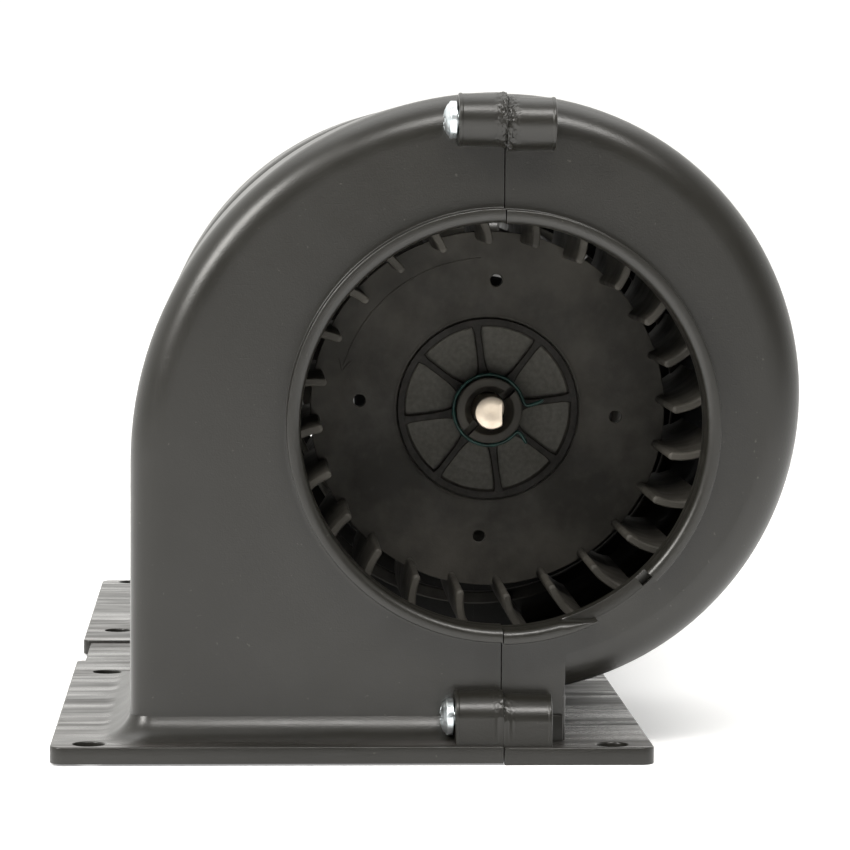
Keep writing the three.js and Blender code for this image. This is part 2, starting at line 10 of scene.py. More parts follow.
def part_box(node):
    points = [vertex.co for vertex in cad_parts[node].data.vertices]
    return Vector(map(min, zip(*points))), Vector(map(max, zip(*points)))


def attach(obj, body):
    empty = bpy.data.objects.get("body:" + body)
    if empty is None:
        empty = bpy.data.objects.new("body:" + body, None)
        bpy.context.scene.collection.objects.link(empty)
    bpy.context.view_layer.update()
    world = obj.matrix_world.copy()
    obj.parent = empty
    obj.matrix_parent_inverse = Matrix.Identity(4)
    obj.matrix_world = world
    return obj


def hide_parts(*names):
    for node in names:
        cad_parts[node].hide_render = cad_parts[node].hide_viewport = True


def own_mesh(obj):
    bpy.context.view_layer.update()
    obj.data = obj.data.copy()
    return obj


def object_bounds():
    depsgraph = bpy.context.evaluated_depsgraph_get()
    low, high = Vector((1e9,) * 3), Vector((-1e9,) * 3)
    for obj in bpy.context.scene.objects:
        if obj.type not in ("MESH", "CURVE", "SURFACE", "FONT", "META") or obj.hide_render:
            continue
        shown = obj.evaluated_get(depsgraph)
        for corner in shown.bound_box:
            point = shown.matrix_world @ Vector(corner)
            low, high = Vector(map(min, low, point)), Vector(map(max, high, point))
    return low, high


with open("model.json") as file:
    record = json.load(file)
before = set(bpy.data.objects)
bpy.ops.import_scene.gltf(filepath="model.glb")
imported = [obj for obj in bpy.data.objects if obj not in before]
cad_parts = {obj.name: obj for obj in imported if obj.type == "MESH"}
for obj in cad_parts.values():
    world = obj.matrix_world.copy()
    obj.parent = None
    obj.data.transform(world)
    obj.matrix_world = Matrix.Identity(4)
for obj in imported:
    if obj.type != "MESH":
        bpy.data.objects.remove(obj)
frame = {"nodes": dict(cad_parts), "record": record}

CAD_LOW, CAD_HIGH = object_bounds()

# --- places from the frame


def box_mm(node):
    low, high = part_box(node)
    return np.array(low) * 1000, np.array(high) * 1000


SHAFT_END = box_mm("motor_shaft")[1][1]
CAN_LOW, CAN_HIGH = box_mm("motor_can")
AXIS_X = (CAN_LOW[0] + CAN_HIGH[0]) / 2
AXIS_Z = (CAN_LOW[2] + CAN_HIGH[2]) / 2
LEFT_LOW = box_mm("casing_left")[0]
WHEEL_LOW, WHEEL_HIGH = box_mm("wheel_front")
WHEEL_Y = (WHEEL_LOW[1] + WHEEL_HIGH[1]) / 2
WHEEL_HALF = (WHEEL_HIGH[1] - WHEEL_LOW[1]) / 2
FLOOR = -AXIS_Z

# --- driving dimensions, mm

FACE_OUTER = -150.5
FACE_INNER = -46.5
WALL = 2.5
EDGE = 8.0
FOOT_EDGE = 5.2  # the edge rounding tightens down the left wall
LEFT_ARC = (-9.2, 84.0)
RIGHT_ARC = (6.6, 68.2)
TONGUE_X = 14.7
BORE = 45.6
RIM_R = 48.8
RIM_PROUD = 6.0
REAR_RIM_PROUD = 3.0
NOTCH = (-63.9, -45)  # degrees between which the front rim is cut away
POCKET_START = -48.5  # from here to the notch's end the face is sunk
CHORD = (-74, -63)  # degrees between which the rim's inner edge is straight
CHORD_Z = 43.8  # depth of that edge below the shaft
SEAM = 0.12  # half the gap between the casing's halves
LAP = 1.2  # depth of the seam groove, and how far the flange laps the duct walls
FLANGE_LEFT = LEFT_LOW[0] - AXIS_X
FLANGE_RIGHT = 34.0
FLANGE_TOP = FLOOR + 4.3
FLANGE_Y = (LEFT_LOW[1], -19.5)
BOLT_Y = (-156.5, -41)
BOLT_R = 3.5
HALF_STEP = 0.35  # the right half sits this much lower than the left
BOSS_STEP = 0.8
BOSS_Y = -154.2
BOSS_TOP = 68.4
BOSS_BOTTOM = -65.7
CRADLE_R = (33.5, 36.5)
CRADLE_HALF = 14.0
CRADLE_SCREW_Z = 40.5
CAN_R = 30.5
CAN_HALF = 40
BLADES = 24
BLADE_PHASE = 3.2  # degrees from +X to the first blade's inner tip
BLADE_TIP = 41.2
DISC_R = 42.5
DISC_HALF = 1.1
COLLET_R = 7.8
SHAFT_R = 4.0
SHAFT_FLAT = 2.6  # from the axis to the flat at each end of the shaft
HUB_BORE = 4.3


def polar(r, degrees):
    return r * math.cos(math.radians(degrees)), r * math.sin(math.radians(degrees))


def circle(x, y, r, count=28):
    turns = np.linspace(0, 2 * math.pi, count, endpoint=False)
    return [(x + r * math.cos(a), y + r * math.sin(a)) for a in turns]


def quarter(steps):
    """(1 - cos, 1 - sin) at even steps of a right angle, for rounding an edge."""
    return [(1 - math.cos(a), 1 - math.sin(a)) for a in np.radians(np.linspace(0, 90, steps + 1))]


def heading(path, i):
    """Direction of a path at its point i."""
    return (Vector(path[min(i + 1, len(path) - 1)]) - Vector(path[max(i - 1, 0)])).normalized()


def new_object(name, data):
    obj = bpy.data.objects.new(name, data)
    bpy.context.scene.collection.objects.link(obj)
    return obj


# --- mesh building


class Shape:
    """Collects quads and polygons in millimetres from the shaft, then makes one piece."""

    def __init__(self):
        self.verts = []
        self.faces = []

    def add(self, points, faces):
        base = len(self.verts)
        self.verts.extend(tuple(float(c) for c in p) for p in points)
        self.faces.extend(tuple(base + i for i in f) for f in faces)

    def grid(self, rows, close_rows=False, close_columns=False):
        """Quads between rows of points, all rows of one length."""
        count = len(rows)
        width = len(rows[0])
        faces = []
        for i in range(count if close_rows else count - 1):
            for j in range(width if close_columns else width - 1):
                a = i * width + j
                b = i * width + (j + 1) % width
                c = ((i + 1) % count) * width + (j + 1) % width
                d = ((i + 1) % count) * width + j
                faces.append((a, b, c, d))
        self.add([p for row in rows for p in row], faces)

    def polygon(self, points):
        self.add(points, [tuple(range(len(points)))])

    def sweep(self, rows):
        """A closed section carried along an open path, capped at both ends."""
        self.grid(rows, close_columns=True)
        self.polygon(rows[0])
        self.polygon(rows[-1])

    def lathe(self, profile, segments, axis="y", centre=(0, 0, 0)):
        """A closed profile of (radius, along) turned round an axis through centre."""
        rows = []
        for k in range(segments):
            c, s = polar(1, 360 * k / segments)
            if axis == "y":
                rows.append([(centre[0] + r * c, centre[1] + a, centre[2] + r * s) for r, a in profile])
            else:
                rows.append([(centre[0] + a, centre[1] + r * c, centre[2] + r * s) for r, a in profile])
        self.grid(rows, close_rows=True, close_columns=True)

    def mirrored(self):
        other = Shape()
        other.verts = [(x, -y, z) for x, y, z in self.verts]
        other.faces = [tuple(reversed(f)) for f in self.faces]
        return other

    def joined(self, *others):
        for other in others:
            self.add(other.verts, other.faces)
        return self

    def piece(self, name, body, slot, replaces=(), crease=32.0, weld=0.004, flat=None):
        """Makes the object; flat is the axis whose square-on faces are shaded flat."""
        work = bmesh.new()
        places = (np.array(self.verts) + (AXIS_X, 0, AXIS_Z)) / 1000
        places = np.clip(places, np.array(CAD_LOW) + 2e-6, np.array(CAD_HIGH) - 2e-6)
        verts = [work.verts.new(p) for p in places]
        for face in self.faces:
            corners = [verts[i] for i in face]
            if len(set(corners)) > 2:
                try:
                    work.faces.new(corners)
                except ValueError:
                    pass
        bmesh.ops.remove_doubles(work, verts=work.verts, dist=weld / 1000)
        bmesh.ops.dissolve_degenerate(work, edges=work.edges, dist=1e-7)
        bmesh.ops.recalc_face_normals(work, faces=work.faces)
        mesh = bpy.data.meshes.new(name)
        work.to_mesh(mesh)
        work.free()
        obj = new_object(name, mesh)
        mesh.polygons.foreach_set("use_smooth", [True] * len(mesh.polygons))
        mesh.set_sharp_from_angle(angle=math.radians(crease))
        if flat is not None:
            for polygon in mesh.polygons:
                if abs(polygon.normal[flat]) > 0.99995:
                    polygon.use_smooth = False
        mesh.materials.append(MATERIALS[slot])
        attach(obj, body)
        if replaces:
            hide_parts(*replaces)
        return obj


# --- materials


class Nodes:
    """Short calls for the nodes of a tree; an input takes a plain value or another node's output."""

    def __init__(self, tree):
        self.tree = tree

    def feed(self, socket, value):
        if hasattr(value, "links"):
            self.tree.links.new(value, socket)
        else:
            socket.default_value = value

    def node(self, kind, inputs=None):
        node = self.tree.nodes.new(f"ShaderNode{kind}")
        for name, value in (inputs or {}).items():
            self.feed(node.inputs[name], value)
        return node

    def ramp(self, value, low, high, out_low=0.0, out_high=1.0):
        inputs = {"Value": value, "From Min": low, "From Max": high, "To Min": out_low, "To Max": out_high}
        return self.node("MapRange", inputs).outputs["Result"]

    def parts_of(self, vector):
        """The x, y and z of a vector socket."""
        node = self.node("SeparateXYZ", {"Vector": vector})
        return [node.outputs[name] for name in "XYZ"]

    def math(self, operation, a, b):
        node = self.node("Math", {0: a, 1: b})
        node.operation = operation
        return node.outputs[0]


class Material(Nodes):
    """A Principled material whose noise is fixed to the piece in its own coordinates, in metres."""

    def __init__(self, name, color, roughness, metallic=0.0):
        self.material = bpy.data.materials.new(name)
        self.material.use_nodes = True
        super().__init__(self.material.node_tree)
        self.shader = self.tree.nodes["Principled BSDF"]
        self.place = self.node("TexCoord").outputs["Object"]
        self.color((*color, 1))
        self.roughness(roughness)
        self.feed(self.shader.inputs["Metallic"], metallic)

    def color(self, value):
        self.feed(self.shader.inputs["Base Color"], value)

    def roughness(self, value):
        self.feed(self.shader.inputs["Roughness"], value)

    def noise(self, scale, detail=3.0, stretch=None, rough=0.5):
        source = self.place
        if stretch:
            source = self.node("Mapping", {"Vector": source, "Scale": stretch}).outputs["Vector"]
        inputs = {"Vector": source, "Scale": scale, "Detail": detail, "Roughness": rough}
        return self.node("TexNoise", inputs).outputs["Fac"]

    def mix(self, factor, a, b):
        """Blend of two colours, each a plain colour or a socket."""
        node = self.node("Mix", {"Factor": factor})
        node.data_type = "RGBA"
        sockets = [s for s in node.inputs if s.type == "RGBA"]
        for socket, value in zip(sockets, (a, b)):
            self.feed(socket, value if hasattr(value, "links") else (*value, 1))
        return [s for s in node.outputs if s.type == "RGBA"][0]

    def bump(self, height, strength, distance):
        """Adds a layer of bump on top of the layers already there."""
        normal = self.shader.inputs["Normal"]
        node = self.node("Bump", {"Strength": strength, "Distance": distance, "Height": height})
        if normal.is_linked:
            self.feed(node.inputs["Normal"], normal.links[0].from_socket)
        self.feed(normal, node.outputs["Normal"])

    def band(self, value, low, high, soft=0.00015):
        """One between low and high, zero outside."""
        rise = self.ramp(value, low - soft, low + soft)
        fall = self.ramp(value, high - soft, high + soft, 1.0, 0.0)
        return self.math("MULTIPLY", rise, fall)

    def band_of_radius(self, x, z, low, high):
        """One where the distance from the shaft lies between low and high."""
        dx = self.math("SUBTRACT", x, AXIS_X / 1000)
        dz = self.math("SUBTRACT", z, AXIS_Z / 1000)
        square = self.math("ADD", self.math("MULTIPLY", dx, dx), self.math("MULTIPLY", dz, dz))
        return self.band(self.math("SQRT", square, 0.0), low, high)


def casing_plastic():
    """Dark moulded plastic with a pale film on the upper face of the flange: partly dust, partly a painted
    reflection of the bright surroundings.
    """
    m = Material("casing_plastic", (0.022, 0.021, 0.017), 0.4)
    blotch = m.ramp(m.noise(14, 4), 0.35, 0.7)
    base = m.mix(blotch, (0.0105, 0.0099, 0.0080), (0.0145, 0.0137, 0.0112))
    specks = m.ramp(m.noise(900, 1.0), 0.76, 0.82)
    dusty = m.mix(m.math("MULTIPLY", specks, 0.3), base, (0.12, 0.115, 0.10))
    # Pale streaked film on the flange's upper faces: partly dust, partly a painted reflection of the bright
    # white surroundings that these faces catch at a grazing angle.
    at_flange = m.ramp(m.parts_of(m.place)[2], 0.0046, 0.0054, 1.0, 0.0)
    facing_up = m.parts_of(m.node("NewGeometry").outputs["Normal"])[2]
    top = m.math("MULTIPLY", m.ramp(facing_up, 0.93, 1.0, 0.0, 0.8), at_flange)
    streaks = m.ramp(m.noise(60, 6, stretch=(0.22, 2.4, 1)), 0.34, 0.74)
    dust_and_painted_sheen = m.math("MULTIPLY", top, streaks)
    m.color(m.mix(dust_and_painted_sheen, dusty, (0.085, 0.078, 0.076)))
    worn = m.math("MULTIPLY", top, m.ramp(m.noise(85, 4, stretch=(0.2, 2.6, 1)), 0.36, 0.64, -0.18, 0.16))
    m.roughness(m.math("ADD", m.ramp(m.noise(90, 5), 0.3, 0.7, 0.29, 0.36), worn))
    m.bump(m.noise(2600, 2.0), 0.32, 0.00008)
    m.bump(m.noise(22, 2.0), 0.3, 0.0006)
    m.bump(m.ramp(m.noise(180, 2.0, stretch=(1, 1, 14)), 0.66, 0.72), 0.15, 0.00006)
    return m.material


def wheel_plastic():
    """Dull moulded plastic; the sector floors of the hub are painted paler as painted light, and its ribs
    darker as painted shade.
    """
    m = Material("wheel_plastic", (0.026, 0.024, 0.020), 0.55)
    m.shader.inputs["Specular IOR Level"].default_value = 0.22
    blotch = m.ramp(m.noise(48, 7, rough=0.6), 0.40, 0.66)
    base = m.mix(blotch, (0.034, 0.0317, 0.0270), (0.070, 0.0650, 0.0557))
    dust = m.ramp(m.noise(380, 4.0), 0.56, 0.80, 0.0, 0.3)
    body = m.mix(dust, base, (0.075, 0.069, 0.060))
    x, y, z = m.parts_of(m.place)
    along = m.math("ABSOLUTE", y, 0.0)
    # The hub's ribs get a darker copy of the plastic as painted shade, and its sector floors a paler copy as
    # painted light.
    floor_y, floor_r = (0.0960, 0.0970), (0.0087, 0.0197)  # metres
    rib_y, rib_r = (0.0975, 0.0990), (0.0079, 0.0218)
    painted_light_floor_mask = m.math("MULTIPLY", m.band(along, *floor_y), m.band_of_radius(x, z, *floor_r))
    painted_shade_rib_mask = m.math("MULTIPLY", m.band(along, *rib_y), m.band_of_radius(x, z, *rib_r))
    rings = m.ramp(m.noise(900, 2.0), 0.35, 0.7, 0.0, 1.0)
    floor = m.mix(rings, (0.070, 0.067, 0.057), (0.094, 0.090, 0.078))
    ribs = m.mix(rings, (0.0145, 0.0130, 0.0110), (0.024, 0.0215, 0.0185))
    m.color(m.mix(painted_shade_rib_mask, m.mix(painted_light_floor_mask, body, floor), ribs))
    m.roughness(m.ramp(m.noise(150, 4), 0.3, 0.7, 0.48, 0.68))
    m.bump(m.noise(2200, 2.0), 0.3, 0.00008)
    m.bump(m.noise(260, 3.0), 0.12, 0.0002)
    return m.material


def zinc():
    m = Material("screw_zinc", (0.72, 0.75, 0.78), 0.28, 1.0)
    m.color(m.mix(m.ramp(m.noise(600, 3), 0.4, 0.7), (0.80, 0.84, 0.86), (0.62, 0.69, 0.72)))
    m.roughness(m.ramp(m.noise(900, 4), 0.3, 0.7, 0.26, 0.42))
    m.bump(m.noise(2500, 2.0), 0.06, 0.00005)
    return m.material


def green_wire():
    m = Material("clip_green", (0.004, 0.030, 0.024), 0.4, 0.2)
    m.color(m.mix(m.ramp(m.noise(700, 3), 0.4, 0.7), (0.003, 0.024, 0.019), (0.008, 0.052, 0.042)))
    m.roughness(m.ramp(m.noise(1200, 3), 0.3, 0.7, 0.32, 0.5))
    m.bump(m.noise(2600, 2.0), 0.1, 0.00004)
    return m.material


def shaft_steel():
    m = Material("shaft_steel", (0.74, 0.68, 0.58), 0.3, 1.0)
    m.color(m.mix(m.ramp(m.noise(300, 3), 0.4, 0.7), (0.66, 0.575, 0.47), (0.55, 0.47, 0.37)))
    m.roughness(m.ramp(m.noise(1800, 3, stretch=(1, 12, 1)), 0.3, 0.7, 0.30, 0.42))
    m.bump(m.noise(1500, 2.0, stretch=(1, 8, 1)), 0.12, 0.00004)
    return m.material


def motor_steel():
    """Steel with a thin dark lacquer."""
    m = Material("motor_steel", (0.06, 0.06, 0.06), 0.42, 0.5)
    m.color(m.mix(m.ramp(m.noise(45, 5), 0.35, 0.7), (0.050, 0.051, 0.052), (0.085, 0.085, 0.083)))
    m.roughness(m.ramp(m.noise(500, 4, stretch=(1, 0.08, 1)), 0.3, 0.7, 0.36, 0.50))
    m.bump(m.noise(900, 2.0, stretch=(1, 0.1, 1)), 0.1, 0.00005)
    return m.material


def plain(name, dark, light, roughness, metallic, scale):
    m = Material(name, dark, roughness, metallic)
    m.color(m.mix(m.ramp(m.noise(scale, 4), 0.35, 0.7), dark, light))
    m.roughness(m.ramp(m.noise(scale * 3, 3), 0.3, 0.7, roughness - 0.07, roughness + 0.08))
    m.bump(m.noise(scale * 6, 2.0), 0.15, 0.00006)
    return m.material


MATERIALS = {
    "casing_plastic": casing_plastic(),
    "wheel_plastic": wheel_plastic(),
    "screw_zinc": zinc(),
    "clip_green": green_wire(),
    "shaft_steel": shaft_steel(),
    "motor_steel": motor_steel(),
    "lamination": plain("lamination", (0.16, 0.16, 0.17), (0.24, 0.24, 0.25), 0.45, 0.9, 400),
    "copper": plain("copper", (0.48, 0.20, 0.08), (0.66, 0.30, 0.13), 0.32, 1.0, 500),
    "ferrite": plain("ferrite", (0.045, 0.045, 0.05), (0.075, 0.075, 0.08), 0.6, 0.0, 300),
    "bronze": plain("bronze", (0.24, 0.14, 0.06), (0.40, 0.26, 0.12), 0.42, 1.0, 500),
    "carbon": plain("carbon", (0.02, 0.02, 0.022), (0.04, 0.04, 0.042), 0.5, 0.1, 600),
    "card_board": plain("card_board", (0.13, 0.06, 0.025), (0.20, 0.10, 0.04), 0.6, 0.0, 300),
    "rubber": plain("rubber", (0.012, 0.012, 0.012), (0.024, 0.024, 0.023), 0.75, 0.0, 300),
}

# --- casing shells


class Station:
    """One section of the scroll shell: a ray from the shaft and the outline it meets."""

    def __init__(self, phi, at, edge=EDGE):
        self.phi = phi
        self.at = at
        self.edge = edge


def arc_station(phi, arc):
    """Station where the ray at phi meets the flat face's border under an arc of the scroll."""
    centre, radius = arc
    c, s = polar(1, phi)
    inner = radius - EDGE
    reach = centre * s + math.sqrt(inner**2 - (centre * c) ** 2)
    nx, nz = reach * c / inner, (reach * s - centre) / inner
    return Station(phi, lambda inset, base: ((radius - inset) * nx, centre + (radius - inset) * nz))


def left_wall_station(z):
    x = -LEFT_ARC[1]
    down = (LEFT_ARC[0] - z) / (LEFT_ARC[0] - FLOOR)
    edge = EDGE + (FOOT_EDGE - EDGE) * down
    phi = math.degrees(math.atan2(z, x + edge)) % 360
    return Station(phi, lambda inset, base: (x + inset, z), edge)


def tongue_station():
    """Where the scroll's rounded edge runs into the flat side of the duct."""
    centre, radius = RIGHT_ARC

    def at(inset, base):
        x = TONGUE_X - base
        return x, centre - math.sqrt((radius - inset) ** 2 - x**2)

    x, z = at(EDGE, 0)
    return Station(math.degrees(math.atan2(z, x)), at)


def duct_station(z, edge=1.0):
    phi = math.degrees(math.atan2(z, TONGUE_X - edge))
    return Station(phi, lambda inset, base: (TONGUE_X - inset, z), edge)


def rim_profile(phi, face, out, proud, notched):
    """(radius, y) from the bore's inner end to the fillet on the face; out is the outward sign."""
    tip = face + out * proud
    inner = BORE
    pocket = 0.0
    if notched:
        angle = (phi + 180) % 360 - 180
        if CHORD[0] < angle < CHORD[1]:
            inner = max(BORE, min(RIM_R - 0.5, CHORD_Z / abs(math.sin(math.radians(angle)))))
        if NOTCH[0] < angle < NOTCH[1]:
            inner, tip = RIM_R - 0.5, face
        if POCKET_START < angle < NOTCH[1]:
            pocket = 1.6
    lip = min(1.8, max(0.1, RIM_R - 0.9 - inner), abs(tip - face) + 0.01)
    points = [(BORE, face - out * 4.0), (BORE, face - out * 0.35), (BORE + 0.1, face - out * 0.1)]
    points += [(BORE + 0.3, face) if inner > BORE + 0.3 else (inner, face + out * 0.02)]
    points += [(inner, face + out * 0.03 - out * pocket)]
    points += [(inner + lip * rise, tip - out * lip * run) for rise, run in quarter(6)]
    small = min(0.35, abs(tip - face) * 0.3 + 0.01)
    points += [(RIM_R - small * run, tip - out * small * rise) for rise, run in quarter(3)]
    fillet = min(0.25, abs(tip - face) * 0.3)
    points += [(RIM_R + fillet * rise, face + out * fillet * run) for rise, run in quarter(3)]
    points.append((RIM_R + 1.2, face))
    return points


def front_strip(phi, border, notched, face, out, proud):
    """Outer points of one wall of the scroll from its bore to the border of the flat face."""
    c, s = polar(1, phi)
    points = [(r * c, y, r * s) for r, y in rim_profile(phi, face, out, proud, notched)]
    start, end = np.array(points[-1]), np.array((border[0], face, border[1]))
    return points + [start + (end - start) * t for t in (0.08, 0.5, 0.93)] + [end]


def back_strip(phi, border, face, out):
    """Inner points of the same wall, from the border back to the bore."""
    x, z = polar(BORE + 1.5, phi)
    inside = face - out * WALL
    return [(border[0], inside, border[1]), (x, inside, z), (x, face - out * 4.0, z)]


def wall_strips(phi, border, border_in):
    """Both walls on one ray, front then rear, each as its outer and its inner points."""
    front = front_strip(phi, border, True, FACE_OUTER, -1, RIM_PROUD)
    rear = front_strip(phi, border, False, FACE_INNER, 1, REAR_RIM_PROUD)
    front_back = back_strip(phi, border_in, FACE_OUTER, -1)
    rear_back = back_strip(phi, border_in, FACE_INNER, 1)
    return front, front_back, rear, rear_back


def full_section(station):
    """Closed section of the shell on one ray, as parts that the duct mouth shares."""
    outer, inner = [], []
    edge = station.edge
    edge_in = max(edge - WALL, 0.4)
    for rise, run in quarter(8):
        x, z = station.at(edge * run, 0)
        outer.append((x, FACE_OUTER + edge * rise, z))
        x, z = station.at(WALL + edge_in * run, WALL)
        inner.append((x, FACE_OUTER + WALL + edge_in * rise, z))
    for side, e, base in ((outer, edge, 0), (inner, edge_in, WALL)):
        start, end = FACE_OUTER + base + e, FACE_INNER - base - e
        x, z = station.at(base, base)
        side.append((x, start + 0.4, z))
        side.append((x, end - 0.4, z))
        for rise, run in quarter(8)[::-1]:
            x, z = station.at(base + e * run, base)
            side.append((x, FACE_INNER - base - e * rise, z))
    border = (outer[0][0], outer[0][2])
    border_in = (inner[0][0], inner[0][2])
    front, front_back, rear, rear_back = wall_strips(station.phi, border, border_in)
    return front, outer, rear, rear_back, inner, front_back


def mouth_sections(x):
    """Front and rear wall sections of the duct where it opens through the flange."""
    phi = math.degrees(math.atan2(FLOOR, x))
    front, front_back, rear, rear_back = wall_strips(phi, (x, FLOOR), (x, FLOOR))
    return front + front_back, rear + rear_back


def scroll_shell(stations, mouth):
    """Half of a scroll: full sections down to the duct mouth, then its two flat walls."""
    shape = Shape()
    rows = []
    for station in stations:
        front, outer, rear, rear_back, inner, front_back = full_section(station)
        rows.append(front + outer[1:] + rear[::-1][1:] + rear_back[::-1] + inner[::-1][1:-1] + front_back)
    shape.grid(rows, close_columns=True)
    shape.polygon(rows[0])
    front, outer, rear, rear_back, inner, front_back = full_section(stations[-1])
    shape.polygon(outer + inner[::-1])
    fronts, rears = [front + front_back], [rear + rear_back]
    for x in mouth:
        front, rear = mouth_sections(x)
        fronts.append(front)
        rears.append(rear)
    for strip in (fronts, rears):
        shape.grid(strip, close_columns=True)
        shape.polygon(strip[-1])
    return shape


def seam_shift(shape, side):
    """Cuts the seam as a groove that closes inside, and lowers the right half a little."""
    top = LEFT_ARC[0] + LEFT_ARC[1]
    moved = []
    for x, y, z in shape.verts:
        inside = FACE_OUTER + LAP < y < FACE_INNER - LAP and z < top - LAP
        gap = 0.002 if inside else SEAM
        x = side * max(abs(x), gap)
        if side > 0:
            z = max(z - HALF_STEP, FLOOR)
        moved.append((x, y, z))
    shape.verts = moved
    return shape


def left_scroll():
    stations = [arc_station(phi, LEFT_ARC) for phi in np.arange(90, 186, 2.5)]
    end = math.degrees(math.atan2(LEFT_ARC[0], -LEFT_ARC[1] + EDGE)) % 360
    stations.append(arc_station(end, LEFT_ARC))
    stations += [left_wall_station(z) for z in np.linspace(LEFT_ARC[0], FLOOR, 16)[1:]]
    mouth = np.linspace(-LEFT_ARC[1] + FOOT_EDGE, 0, 22)[1:]
    return seam_shift(scroll_shell(stations, mouth), -1)


def right_scroll():
    angles = list(np.arange(90, -73, -2.5))
    angles += [edge + step for edge in (*NOTCH, POCKET_START) for step in (0.02, -0.02)]
    angles += [-66, -69, -71, -73]
    tongue = tongue_station()
    stations = [arc_station(phi, RIGHT_ARC) for phi in sorted(set(angles), reverse=True)]
    stations.append(arc_station(tongue.phi, RIGHT_ARC))
    stations += [tongue, duct_station(-61.5), duct_station(FLOOR)]
    mouth = np.linspace(TONGUE_X - 1, 0, 6)[1:]
    return seam_shift(scroll_shell(stations, mouth), 1)


# --- flange and fillets


def rounded_path(points):
    """Plan path through (x, y, radius) corners, arcs where the radius is not nought."""
    path = []
    count = len(points)
    for i, (x, y, r) in enumerate(points):
        if r == 0 or i in (0, count - 1):
            path.append((x, y))
            continue
        here = Vector((x, y))
        before = (Vector(points[i - 1][:2]) - here).normalized()
        after = (Vector(points[i + 1][:2]) - here).normalized()
        centre = here + (before + after) * r
        start = math.atan2(*(here + before * r - centre).yx)
        turn = before.x * after.y - before.y * after.x
        for k in range(9):
            a = start + (1 if turn < 0 else -1) * math.pi / 2 * k / 8
            path.append((centre.x + r * math.cos(a), centre.y + r * math.sin(a)))
    return path


def fillet_skirt(corners, radius=8.0):
    """Concave fillet between the duct walls and the flange, along the walls' foot."""
    path = rounded_path(corners)
    lean = 0.94  # the arc meets the wall at a slight crease
    turns = np.radians(np.linspace(20, 90, 12))
    arc = [(radius * (lean - math.cos(t)), radius * (1 - math.sin(t))) for t in turns]
    section = [(-1.0, arc[0][1]), *arc, (arc[-1][0], -1.0), (-1.0, -1.0)]
    rows = []
    for i, (x, y) in enumerate(path):
        along = heading(path, i)
        out = Vector((-along.y, along.x))
        rows.append([(x + out.x * o, y + out.y * o, FLANGE_TOP + h) for o, h in section])
    shape = Shape()
    shape.sweep(rows)
    return shape


def plate(outline, holes, low, high, round_edge=0.35):
    """Flat plate from plan outlines, with holes and softly rounded edges."""
    data = bpy.data.curves.new("plate", "CURVE")
    data.dimensions = "2D"
    data.fill_mode = "BOTH"
    data.extrude = (high - low) / 2 - round_edge
    data.bevel_depth = round_edge
    data.bevel_resolution = 2
    data.offset = -round_edge
    for loop in (outline, *holes):
        spline = data.splines.new("POLY")
        spline.points.add(len(loop) - 1)
        for point, (x, y) in zip(spline.points, loop):
            point.co = (x, y, 0, 1)
        spline.use_cyclic_u = True
    obj = new_object("plate", data)
    bpy.context.view_layer.update()
    mesh = bpy.data.meshes.new_from_object(obj.evaluated_get(bpy.context.evaluated_depsgraph_get()))
    middle = (low + high) / 2
    shape = Shape()
    shape.add(
        [(v.co.x, v.co.y, v.co.z + middle) for v in mesh.vertices],
        [tuple(p.vertices) for p in mesh.polygons],
    )
    bpy.data.objects.remove(obj)
    bpy.data.meshes.remove(mesh)
    return shape


def flange(side):
    """Outlet flange of one scroll on one side of the seam."""
    y0, y1 = FLANGE_Y
    mouth0, mouth1 = FACE_OUTER + LAP, FACE_INNER - LAP
    seam = side * SEAM
    if side < 0:
        edge, inner, low, hole, drop = FLANGE_LEFT, -LEFT_ARC[1] + LAP, FLOOR + 0.4, 8.7, 0
    else:
        edge, inner, low, hole, drop = FLANGE_RIGHT, TONGUE_X - LAP, FLOOR, -9.3, HALF_STEP
    holes = [circle(edge + hole, y, BOLT_R) for y in BOLT_Y]
    corners = [
        (seam, y0, 0), (edge, y0, 3), (edge, y1, 2), (seam, y1, 0),
        (seam, mouth1, 0), (inner, mouth1, 0), (inner, mouth0, 0), (seam, mouth0, 0),
    ]
    return plate(rounded_path(corners), holes, low, FLANGE_TOP - drop)


def bridge(side):
    """Strip between the two outlet flanges, on one side of the seam."""
    seam = side * SEAM
    edge = FLANGE_LEFT + 2 if side < 0 else FLANGE_RIGHT - 2
    y1 = -FLANGE_Y[1] + 0.6
    return plate([(seam, -y1), (edge, -y1), (edge, y1), (seam, y1)], [], FLOOR + 0.4, FLANGE_TOP - 0.6)


def skirt():
    """Foot fillet of the left half, round the duct walls."""
    x = -LEFT_ARC[1]
    return fillet_skirt([
        (-SEAM, FACE_OUTER, 0), (x, FACE_OUTER, FOOT_EDGE),
        (x, FACE_INNER, FOOT_EDGE), (-SEAM, FACE_INNER, 0),
    ])


# --- bosses and cradle


def boss_size(side):
    """How far a boss sits below its drawn height, and its length from the split."""
    return (0.0, 10.8) if side < 0 else (BOSS_STEP, 11.0)


def boss_steps(end):
    """(x, inset) stations along a boss: fine near the split, with a raised lip at its end."""
    near = [(0.02, 0.05), (0.1, 0.0)] + [(0.22 * k, 0.0) for k in range(1, 16)]
    far = [(5.0, 0.0), (8.0, 0.0), (end - 0.95, 0.0), (end - 0.75, -0.14), (end - 0.4, -0.17)]
    return near + far + [(end - 0.15, -0.08), (end - 0.03, 0.1), (end, 0.35)]


def flash(x, a):
    """Ragged moulding flash close to the split of a boss."""
    near = max(0.0, 1 - abs(x) / 3.4)
    coarse = noise.noise(Vector((x * 1.1, a * 0.07, 4.0)))
    fine = noise.noise(Vector((x * 3.1, a * 0.24, 9.0)))
    return near * (0.3 * coarse + 0.42 * fine)


